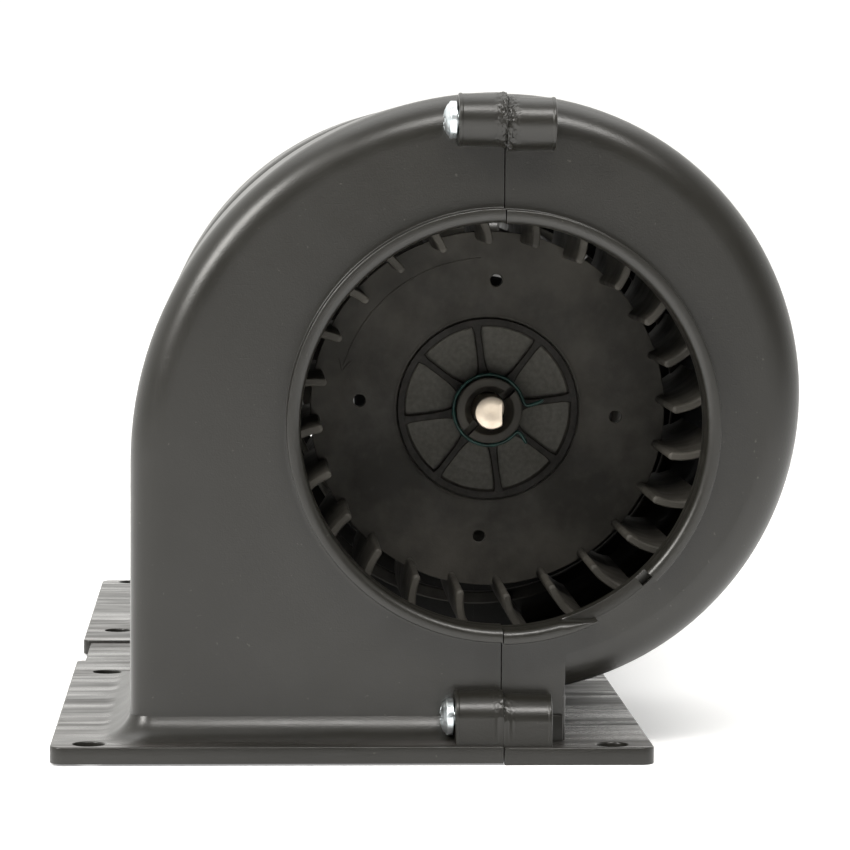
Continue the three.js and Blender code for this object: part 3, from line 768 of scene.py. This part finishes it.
def boss(side):
    """Top screw boss along x on one side of the seam."""
    shape = Shape()
    drop, end = boss_size(side)
    rows = []
    for x, inset in boss_steps(end):
        row = []
        for a in np.arange(0, 360, 3):
            r = 6.1 - 0.25 * x / end - inset + flash(side * x, a)
            y, dz = polar(r, a)
            row.append((side * x, BOSS_Y - y, BOSS_TOP - drop + dz))
        rows.append(row)
    shape.sweep(rows)
    return shape


def tongue_foot():
    """Small block that ties the bottom boss to the tongue wall's foot."""
    shape = Shape()
    rows = []
    for x, inset in ((10.0, 0.0), (13.6, 0.0), (13.9, 0.1), (14.0, 0.35)):
        y0, top = FACE_OUTER - 1.4 + inset, FLANGE_TOP + 5.6 - inset
        rows.append([
            (x, FACE_OUTER + 1.5, FLANGE_TOP - 0.8), (x, FACE_OUTER + 1.5, top), (x, y0 + 0.35, top),
            (x, y0 + 0.1, top - 0.1), (x, y0, top - 0.35), (x, y0 - 0.3, FLANGE_TOP - 0.8),
        ])
    shape.sweep(rows)
    return shape


def boss_foot(side):
    """Bottom boss: an arch section along x standing on the flange."""
    shape = Shape()
    drop, end = boss_size(side)
    rows = []
    for x, inset in boss_steps(end):
        r = 6.05 - 0.2 * x / end - inset
        back = FACE_OUTER + 1.4
        top = BOSS_BOTTOM - drop
        row = [(side * x, back, FLANGE_TOP - 0.8), (side * x, back, top + 3.4)]
        for a in np.arange(35, 181, 3.65):
            y, dz = polar(r + 0.6 * flash(side * x, a), a)
            row.append((side * x, BOSS_Y + y, top + dz))
        row.append((side * x, BOSS_Y - r, FLANGE_TOP + 0.6))
        row.append((side * x, BOSS_Y - r - 0.25, FLANGE_TOP - 0.8))
        rows.append(row)
    shape.sweep(rows)
    return shape


def cradle_bar(shape, degrees, r0, r1, wide, half):
    """Rounded bar along y at one angle round the shaft, between two radii."""
    c, s = polar(1, degrees)
    middle, long, side, soft = (r0 + r1) / 2, (r1 - r0) / 2, wide / 2, 0.8
    loop = []
    for sr, sw in ((1, 1), (-1, 1), (-1, -1), (1, -1)):
        corner = [(middle + sr * (long - soft * rise), sw * (side - soft * run)) for rise, run in quarter(3)]
        loop += corner if sr * sw > 0 else corner[::-1]
    rows = []
    for y, pinch in ((-half, 0.6), (-half + 0.6, 0.0), (half - 0.6, 0.0), (half, 0.6)):
        row = []
        for r, t in loop:
            r = middle + (r - middle) * (1 - pinch / max(r1 - r0, 2))
            t *= 1 - pinch / wide
            row.append((r * c - t * s, y, r * s + t * c))
        rows.append(row)
    shape.sweep(rows)


def cradle(side):
    """Half of the band round the motor with its arms, webs and screw bosses."""
    shape = Shape()
    (r_in, r_out), half = CRADLE_R, CRADLE_HALF
    section = [
        (r_in, -half + 0.5), (r_in + 0.5, -half), (r_out - 0.6, -half), (r_out, -half + 0.6),
        (r_out, half - 0.6), (r_out - 0.6, half), (r_in + 0.5, half), (r_in, half - 0.5),
    ]
    start, end = (90.2, 269.8) if side < 0 else (89.8, -89.8)
    rows = []
    for a in np.linspace(start, end, 61):
        c, s = polar(1, a)
        rows.append([(r * c, y, r * s) for r, y in section])
    shape.sweep(rows)
    for degrees in (135, 225) if side < 0 else (45, 315):
        cradle_bar(shape, degrees, 47.2, 53.2, 9.0, -FACE_INNER + 1)
        cradle_bar(shape, degrees, r_in + 1.0, 48.5, 4.0, half - 1)
    x0, x1 = SEAM, 9.0
    profile = [(0.0, x0), (4.3, x0), (4.5, x0 + 0.2), (4.5, x1 - 0.5), (4.1, x1), (0.0, x1)]
    for z in (CRADLE_SCREW_Z, -CRADLE_SCREW_Z):
        shape.lathe([(r, side * x) for r, x in profile], 32, axis="x", centre=(0, 0, z))
    return shape


def casing_half(side, name):
    scroll, foot = (left_scroll(), skirt()) if side < 0 else (right_scroll(), tongue_foot())
    end = Shape().joined(scroll, flange(side), boss(side), boss_foot(side), foot)
    whole = Shape().joined(end, end.mirrored(), bridge(side), cradle(side))
    whole.piece(f"casing_{name}_shell", "casing", "casing_plastic", (f"casing_{name}",), flat=2)


# --- wheels


def ridge(shape, path, widths, base, top):
    """Raised line with soft edges along a path of (x, z) points, between two heights in y."""
    rows = []
    for i, (x, z) in enumerate(path):
        along = heading(path, i)
        half = widths[i] / 2
        soft = min(0.3, half * 0.45)
        lift = (top - base) * min(0.35, soft / max(abs(top - base), 0.01))
        section = [(-half, base), (-half, top - lift), (-half + soft, top), (half - soft, top)]
        section += [(half, top - lift), (half, base)]
        rows.append([(x - along.y * t, y, z + along.x * t) for t, y in section])
    shape.sweep(rows)


def blade_section(phase, inset):
    """Outline of one forward-curved blade in the wheel's plane, with a rounded inner tip."""
    curve, r_out = 15.0, 51.0
    start = math.radians(5)
    end = start + (r_out - BLADE_TIP) / curve / 0.82
    half = 0.9 - inset

    def at(offset, a):
        x = BLADE_TIP + inset + (curve - offset) * math.sin(a) - curve * math.sin(start)
        return x, curve * math.cos(start) - (curve - offset) * math.cos(a)

    steps = np.linspace(start, end - inset / curve, 9)
    points = [at(half, a) for a in steps[::-1]]
    tip_x, tip_z = at(0, start)
    lean, rise = math.cos(start), math.sin(start)
    for k in range(1, 8):
        turn = math.pi * k / 8
        c, s = half * math.cos(turn), half * math.sin(turn)
        points.append((tip_x - c * rise - s * lean, tip_z + c * lean - s * rise))
    points += [at(-half, a) for a in steps]
    c, s = polar(1, phase)
    return [(x * c - z * s, x * s + z * c) for x, z in points]


def wheel_blades(shape):
    """Blades along the wheel, their ends eased by stations of (part of the half length, inset)."""
    stations = [(-1, 0.35), (-0.9955, 0.12), (-0.99, 0.0), (0.0, 0.0), (0.99, 0.0), (0.9955, 0.12), (1, 0.35)]
    for k in range(BLADES):
        rows = []
        for y, inset in stations:
            section = blade_section(BLADE_PHASE + 360 / BLADES * k, inset)
            rows.append([(x, WHEEL_Y + y * WHEEL_HALF, z) for x, z in section])
        shape.sweep(rows)


def wheel_shape():
    """Front wheel; out is measured from the disc's middle towards the outer eye."""
    shape = Shape()
    wheel_blades(shape)

    def y_of(out):
        return WHEEL_Y - out

    for y0, y1 in ((-WHEEL_HALF, -WHEEL_HALF + 3), (WHEEL_HALF - 3, WHEEL_HALF)):
        ring = [(48.4, y0 + 0.3), (48.7, y0), (51.0, y0), (51.4, y0 + 0.4)]
        ring += [(51.4, y1 - 0.4), (51.0, y1), (48.7, y1), (48.4, y1 - 0.3)]
        shape.lathe([(r, WHEEL_Y + y) for r, y in ring], 144)

    marks = []
    for r in np.arange(18.9, 8.9, -0.5):
        ripple = 0.035 * math.sin(r * 5.1) + 0.025 * math.sin(r * 2.3)
        marks.append((float(r), -0.3 + ripple))
    middle = [
        (HUB_BORE, -4.0), (COLLET_R - 0.3, -4.0), (COLLET_R, -3.7), (COLLET_R, -1.6), (8.3, -DISC_HALF),
        (22.6, -DISC_HALF), (22.6, DISC_HALF), (22.15, DISC_HALF), (22.0, 0.95), (22.0, 0.15), (21.75, 0.15),
        (21.65, 0.3), (21.65, 1.2), (21.45, 1.45), (20.1, 1.45), (19.85, 1.25), (19.7, 0.0), (19.45, -0.3),
        *marks, (8.6, -0.3), (8.1, -0.1), (COLLET_R, 0.3), (COLLET_R, 3.5), (HUB_BORE, 3.5),
    ]
    shape.lathe([(r, y_of(out)) for r, out in middle], 144)

    collet = [
        (HUB_BORE, 3.4), (COLLET_R, 3.4), (COLLET_R, 8.05), (7.72, 8.3), (7.4, 8.48), (7.2, 8.5),
        (6.1, 8.5), (5.85, 8.42), (5.7, 8.2), (5.3, 6.6), (4.5, 5.0), (HUB_BORE, 4.7),
    ]
    for turn in (44, 224):
        rows = []
        for t in np.linspace(0, 1, 37):
            row = []
            for r, out in collet:
                gap = math.degrees(math.asin(0.9 / r))
                x, z = polar(r, turn + gap + (180 - 2 * gap) * t)
                row.append((x, y_of(out), z))
            rows.append(row)
        shape.sweep(rows)

    radii = [7.3, 7.9, 8.5, 9.3, 10.4, 12, 14, 16, 18, 19, 19.6, 20.1]
    widths = [4.6, 3.7, 3.0, 2.4, 2.0, 1.75, 1.7, 1.7, 1.75, 2.0, 2.4, 2.8]
    for k in range(8):
        rib = [polar(r, 7.9 + 45 * k) for r in radii]
        ridge(shape, rib, widths, y_of(-0.6), y_of(1.4))

    outline = circle(0, 0, DISC_R, 144)
    holes = [circle(0, 0, 22.3, 96)]
    holes += [circle(*polar(30.8, -3.5 + 90 * k), 1.45, 24) for k in range(4)]
    web = plate(outline, holes, -DISC_HALF, DISC_HALF, 0.2)
    shape.add([(x, WHEEL_Y - z, y) for x, y, z in web.verts], web.faces)

    arrow_r, arrow_end = 36.0, 165.5
    lines = [[polar(arrow_r, a) for a in np.linspace(93, 163, 48)]]
    tip = np.array(polar(arrow_r, arrow_end))
    for lean in (-28, 28):
        barb = np.array(polar(3.2, arrow_end - 90 + lean))
        lines.append([tuple(tip + barb * t) for t in (0, 0.5, 1)])
    for line in lines:
        ridge(shape, line, [0.42] * len(line), y_of(1.0), y_of(1.26))
    return shape


def smooth_path(points, steps):
    """Catmull-Rom curve through the points."""
    points = [Vector(p) for p in points]
    ends = [points[0] * 2 - points[1], *points, points[-1] * 2 - points[-2]]
    path = []
    for p0, p1, p2, p3 in zip(ends, ends[1:], ends[2:], ends[3:]):
        for k in range(steps):
            t = k / steps
            bend = (2 * p0 - 5 * p1 + 4 * p2 - p3) * t * t
            twist = (3 * p1 - p0 - 3 * p2 + p3) * t**3
            path.append(0.5 * ((2 * p1) + (p2 - p0) * t + bend + twist))
    path.append(points[-1])
    return path


def wire(shape, path, radius, sides=14, clear_of=Vector((0, 1, 0))):
    """Round wire along a path that stays clear of one direction, with rounded ends."""
    rows = []
    for i, point in enumerate(path):
        along = heading(path, i)
        side = along.cross(clear_of).normalized()
        up = side.cross(along)
        row = []
        r = radius * (0.55 if i in (0, len(path) - 1) else 1)
        for k in range(sides):
            c, s = polar(r, 360 * k / sides)
            row.append(tuple(point + side * c + up * s))
        rows.append(row)
    shape.sweep(rows)


def clip_shape():
    """Spring wire round the collet, its two ends bent outwards as a grip."""
    y = WHEEL_Y - DISC_HALF - 4.6
    spots = [(13.0, 11.4), (12.7, 9.6), (11.2, 8.0), (9.6, 6.6), (8.75, 8.6)]
    spots += [(8.42, a) for a in np.linspace(15, 316, 26)]
    spots += [(8.5, 320.5), (8.85, 323.2), (9.5, 323.4), (10.6, 321.2), (12.1, 318.4)]
    flat = [polar(r, a) for r, a in spots]
    points = [(x, y, z) for x, z in flat]
    shape = Shape()
    wire(shape, smooth_path(points, 5), 0.43)
    return shape


def wheel_pieces(end, name):
    wheel, clip = wheel_shape(), clip_shape()
    if end > 0:
        wheel, clip = wheel.mirrored(), clip.mirrored()
    wheel.piece(f"wheel_{name}_fine", "rotor", "wheel_plastic", (f"wheel_{name}",), crease=35, flat=1)
    clip.piece(f"hub_clip_{name}_wire", "rotor", "clip_green", (f"hub_clip_{name}",))


# --- shaft, screws and motor


def shaft_piece():
    """Shaft with a flat at each end, stepped by (end, radius, depth from the end)."""
    shape = Shape()
    rows = []
    tip = [(0.0, 0.06), (0.6, 0.05), (1.7, 0.0), (SHAFT_R - 0.46, 0.0), (SHAFT_R - 0.23, 0.08)]
    tip += [(SHAFT_R, depth) for depth in (0.4, 1.5, 13.9, 14.1)]
    steps = [(-1, r, depth) for r, depth in tip] + [(1, r, depth) for r, depth in tip[::-1]]
    for side, r, depth in steps:
        row = []
        for k in range(72):
            c, s = polar(max(r, 0.001), 5 * k)
            if depth < 14:
                c = min(c, SHAFT_FLAT - (0.12 if depth < 0.3 else 0.0))
            row.append((c, side * (SHAFT_END - depth), s))
        rows.append(row)
    shape.sweep(rows)
    shape.piece("motor_shaft_turned", "rotor", "shaft_steel", ("motor_shaft",), crease=28)


def pan_screw(node, y, z, left, head_r, head_h, shank_r, tip):
    """Pan head screw along x with a cross recess; left is the head's underside."""
    shape = Shape()
    outer = left - head_h
    dome_r, dome_h = head_r * 0.80, head_h * 0.30
    rim = [
        (dome_r, outer + dome_h), (head_r * 0.88, outer + head_h * 0.42),
        (head_r * 0.97, outer + head_h * 0.48), (head_r, outer + head_h * 0.56),
        (head_r, left - 0.12), (head_r - 0.15, left), (shank_r, left), (shank_r, tip - 0.6),
        (shank_r * 0.6, tip), (0.02, tip),
    ]
    rows = []
    sides, rings = 72, 15
    slot, arm = 0.58, head_r * 0.56  # half width and reach of the recess
    for i in range(rings):
        r = max(dome_r * i / rings, 0.01)
        dome = outer + dome_h * (r / dome_r) ** 2.4
        row = []
        for k in range(sides):
            c, s = polar(r, 360 * k / sides)
            narrow, wide = sorted((abs(c), abs(s)))
            inside = min(1, max(0, (slot - narrow) / 0.16)) * min(1, max(0, (arm - wide) / 0.45))
            depth = inside * (1.5 - 0.28 * wide) * head_h / 3
            row.append((dome + depth, y + c, z + s))
        rows.append(row)
    for r, x in rim:
        rows.append([(x, *spot) for spot in circle(y, z, r, sides)])
    shape.sweep(rows)
    shape.piece(f"{node}_fine", "casing", "screw_zinc", (node,), crease=40)


def screw_pieces():
    for end, y in (("front", BOSS_Y), ("rear", -BOSS_Y)):
        for name, z in (("top", BOSS_TOP), ("bottom", BOSS_BOTTOM)):
            pan_screw(f"casing_screw_{end}_{name}", y, z, -11.1, 4.2, 3.0, 2.0, 8.0)
    for name, z in (("top", CRADLE_SCREW_Z), ("bottom", -CRADLE_SCREW_Z)):
        pan_screw(f"cradle_screw_{name}", 0, z, -9.3, 3.4, 2.4, 1.5, 6.5)


def can_piece():
    """Rolled steel can with a butt seam and a groove rolled in near each end."""
    shape = Shape()
    sides = 240
    near = CAN_HALF - 0.15
    half = [20, 34.4, 34.9, 35.4, 35.9, 36.4, 39.4, near, CAN_HALF]
    ys = [-y for y in half[::-1]] + [0] + half
    groove = {35.9: 0.16, 35.4: 0.3, 34.9: 0.16}
    rows = []
    for k in range(sides):
        angle = 360 * k / sides
        seam = 0.22 if abs(angle - 252) < 0.8 else 0.0
        row = []
        for y in ys:
            soft = {CAN_HALF: 0.35, near: 0.1}.get(abs(y), 0.0)
            r = CAN_R - soft - groove.get(abs(y), 0.0) - seam
            c, s = polar(r, angle)
            row.append((c, float(y), s))
        for y in (CAN_HALF, -CAN_HALF):
            c, s = polar(CAN_R - 2, angle)
            row.append((c, float(y), s))
        rows.append(row)
    shape.grid(rows, close_rows=True, close_columns=True)
    shape.piece("motor_can_rolled", "casing", "motor_steel", ("motor_can",), crease=40)


def end_cap_piece(end, name):
    """Pressed end cap of the can with the bearing cup in its middle."""
    seat = CAN_HALF + 0.3
    profile = [
        (7.4, 0), (30.3, 0), (CAN_R, 0.2), (CAN_R, 1.6), (30.3, 2.0), (29.9, 2.2), (27.9, 2.2), (27.4, 2.0),
        (26.9, 1.8), (24.0, 1.8), (15.2, 1.8), (14.7, 2.0), (14.2, 2.2), (11.0, 2.2), (10.2, 2.35),
        (9.6, 2.9), (9.4, 3.6), (9.4, 8.6), (9.2, 9.2), (8.6, 9.6), (5.2, 9.6), (4.9, 9.45), (4.8, 9.2),
        (4.8, 8.2), (7.4, 8.2),
    ]
    shape = Shape()
    shape.lathe([(r, end * (seat + y)) for r, y in profile], 120)
    node = f"motor_end_cap_{name}"
    shape.piece(f"{node}_pressed", "casing", "motor_steel", (node,), crease=30)


def mount_ring_piece(end, name):
    """Rubber ring between the can and the cradle, with shallow ribs outside."""
    shape = Shape()
    sides = 216
    section = [
        (30.8, 8.5), (31.2, 8.0), (32.8, 8.0), (33.2, 8.5),
        (33.2, 13.5), (32.8, 14.0), (31.2, 14.0), (30.8, 13.5),
    ]
    rows = []
    for k in range(sides):
        rib = 0.14 * (0.5 + 0.5 * math.cos(math.radians(360 * k / 6)))
        row = []
        for r, y in section:
            if r > 32:
                r -= rib
            c, s = polar(r, 360 * k / sides)
            row.append((c, end * y, s))
        rows.append(row)
    shape.grid(rows, close_rows=True, close_columns=True)
    shape.piece(f"mount_ring_{name}_ribbed", "casing", "rubber", (f"mount_ring_{name}",), crease=40)


def tie_bolt_piece(name, turn):
    """Through bolt of the motor with a slotted hexagon head at the front."""
    x, z = polar(26.2, 70 + turn)
    seat = 42.8
    shape = Shape()
    rows = []
    sides = 48
    head = [(0.02, 2.0), (0.5, 2.0), (0.78, 2.0), (0.88, 1.9), (1.0, 1.55), (1.0, 0.1), (0.97, 0.0)]
    for scale, d in (*head, (0.5, 0.0)):
        row = []
        for k in range(sides):
            a = 360 * k / sides
            hexagon = 2.8 * math.cos(math.radians(30)) / math.cos(math.radians((a % 60) - 30))
            r = scale * (hexagon if scale > 0.95 or scale < 0.8 else 2.55 / 0.88)
            dx, dz = polar(min(r, 2.8), a)
            slot = 0.7 if scale < 0.8 and abs(dz) < 0.45 and d == 2.0 else 0.0
            row.append((x + dx, -seat - d + slot, z + dz))
        rows.append(row)
    for r, y in ((1.5, -seat - 0.4), (1.5, 43.4), (1.2, 43.8), (0.02, 43.8)):
        rows.append([(dx, y, dz) for dx, dz in circle(x, z, r, sides)])
    shape.sweep(rows)
    shape.piece(f"{name}_hex", "casing", "screw_zinc", (name,), crease=30)


def grommet_piece():
    """Rubber bush in the front end cap where the leads leave the motor."""
    shape = Shape()
    profile = [
        (1.2, -44.6), (1.5, -44.9), (3.7, -44.9), (4.05, -44.6), (4.1, -43.3), (3.9, -42.85), (2.4, -42.8),
        (2.4, -40.0), (1.2, -40.0),
    ]
    shape.lathe(profile, 40, centre=(22, 0, 0))
    shape.piece("lead_grommet_fine", "casing", "rubber", ("lead_grommet",), crease=35)


def brush_spring_piece(name):
    """Coil spring behind a brush, its end turns closed up."""
    node = f"brush_spring_{name}"
    slot = next(part["material_slot"] for part in frame["record"]["subparts"] if part["node"] == node)
    low, high = box_mm(node)
    middle = (low + high) / 2 - (AXIS_X, 0, AXIS_Z)
    wire_r = 0.32
    radius = (high[0] - low[0]) / 2 - wire_r - 0.02
    reach = (high[2] - low[2]) / 2 - wire_r - 0.02
    turns, steps = 4, 28
    path = []
    for k in range(turns * steps + 1):
        t = 2 * k / (turns * steps) - 1
        x, y = polar(radius, 360 * k / steps)
        rise = reach * (0.5 * t + 0.5 * math.sin(t * math.pi / 2))
        path.append(Vector((middle[0] + x, middle[1] + y, middle[2] + rise)))
    shape = Shape()
    wire(shape, path, wire_r, 10, Vector((0, 0, 1)))
    coil = shape.piece(f"{node}_coil", "casing", slot, (node,), crease=60)
    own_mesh(coil)


def dress_kept_nodes():
    """Gives each CAD node that stays in view the material of its slot."""
    for part in frame["record"]["subparts"]:
        node = frame["nodes"].get(part["node"])
        if node and node.material_slots:
            for place in node.material_slots:
                place.material = MATERIALS[part["material_slot"]]


# --- camera, lights, floor


def set_camera():
    """Long lens before the front inlet, a little to the left and above the shaft."""
    pitch, roll, yaw = 0.0737, 0.0057, 0.0495
    data = bpy.data.cameras.new("camera")
    data.lens = 156.9
    data.clip_end = 20
    camera = new_object("camera", data)
    camera.location = (-0.04245, -0.981, 0.137)
    camera.rotation_euler = (math.pi / 2 - pitch, -roll, -yaw)
    bpy.context.scene.camera = camera


def area_light(name, place, target, size, power, color=(1, 1, 1)):
    data = bpy.data.lights.new(name, "AREA")
    data.shape = "RECTANGLE"
    data.size, data.size_y = size
    data.energy = power
    data.color = color
    light = new_object(name, data)
    light.location = place
    light.rotation_euler = (Vector(target) - Vector(place)).to_track_quat("-Z", "Y").to_euler()


def set_world():
    """White studio all round, dimmer behind the camera; the camera itself sees plain white."""
    world = bpy.data.worlds.new("studio")
    world.use_nodes = True
    n = Nodes(world.node_tree)
    background = n.tree.nodes["Background"]
    n.feed(background.inputs["Color"], (1.0, 0.99, 0.955, 1))
    back = n.parts_of(n.node("TexCoord").outputs["Generated"])[1]
    lit = n.ramp(back, -0.55, 0.35, 0.12, 1.3)
    seen = n.node("LightPath").outputs["Is Camera Ray"]
    n.feed(background.inputs["Strength"], n.node("Mix", {0: seen, 2: lit, 3: 1.1}).outputs[0])
    bpy.context.scene.world = world


def set_stage():
    """Pale floor and three soft lights."""
    set_world()
    bpy.context.scene.view_settings.view_transform = "Standard"
    work = bmesh.new()
    bmesh.ops.create_grid(work, x_segments=1, y_segments=1, size=6)
    mesh = bpy.data.meshes.new("floor")
    work.to_mesh(mesh)
    work.free()
    floor = new_object("floor", mesh)
    pale = Material("floor_pale", (0.93, 0.93, 0.93), 0.9)
    pale.feed(pale.shader.inputs["Emission Color"], (1, 1, 1, 1))
    pale.feed(pale.shader.inputs["Emission Strength"], 0.32)
    mesh.materials.append(pale.material)
    middle = (0.0, -0.12, 0.09)
    area_light("key_upper_left", (-1.00, -0.84, 0.90), middle, (0.36, 0.52), 18, (1.0, 0.98, 0.94))
    area_light("top_front", (0.15, -0.95, 1.10), middle, (0.80, 0.22), 13, (1.0, 0.98, 0.95))
    area_light("top_back", (0.0, 0.35, 1.5), middle, (1.6, 1.2), 8)


set_camera()
set_stage()
for side, half_name, end_name in ((-1, "left", "front"), (1, "right", "rear")):
    casing_half(side, half_name)
    wheel_pieces(side, end_name)
    end_cap_piece(side, end_name)
    mount_ring_piece(side, end_name)
shaft_piece()
screw_pieces()
can_piece()
tie_bolt_piece("tie_bolt_upper", 0)
tie_bolt_piece("tie_bolt_lower", 180)
grommet_piece()
brush_spring_piece("upper")
brush_spring_piece("lower")
dress_kept_nodes()
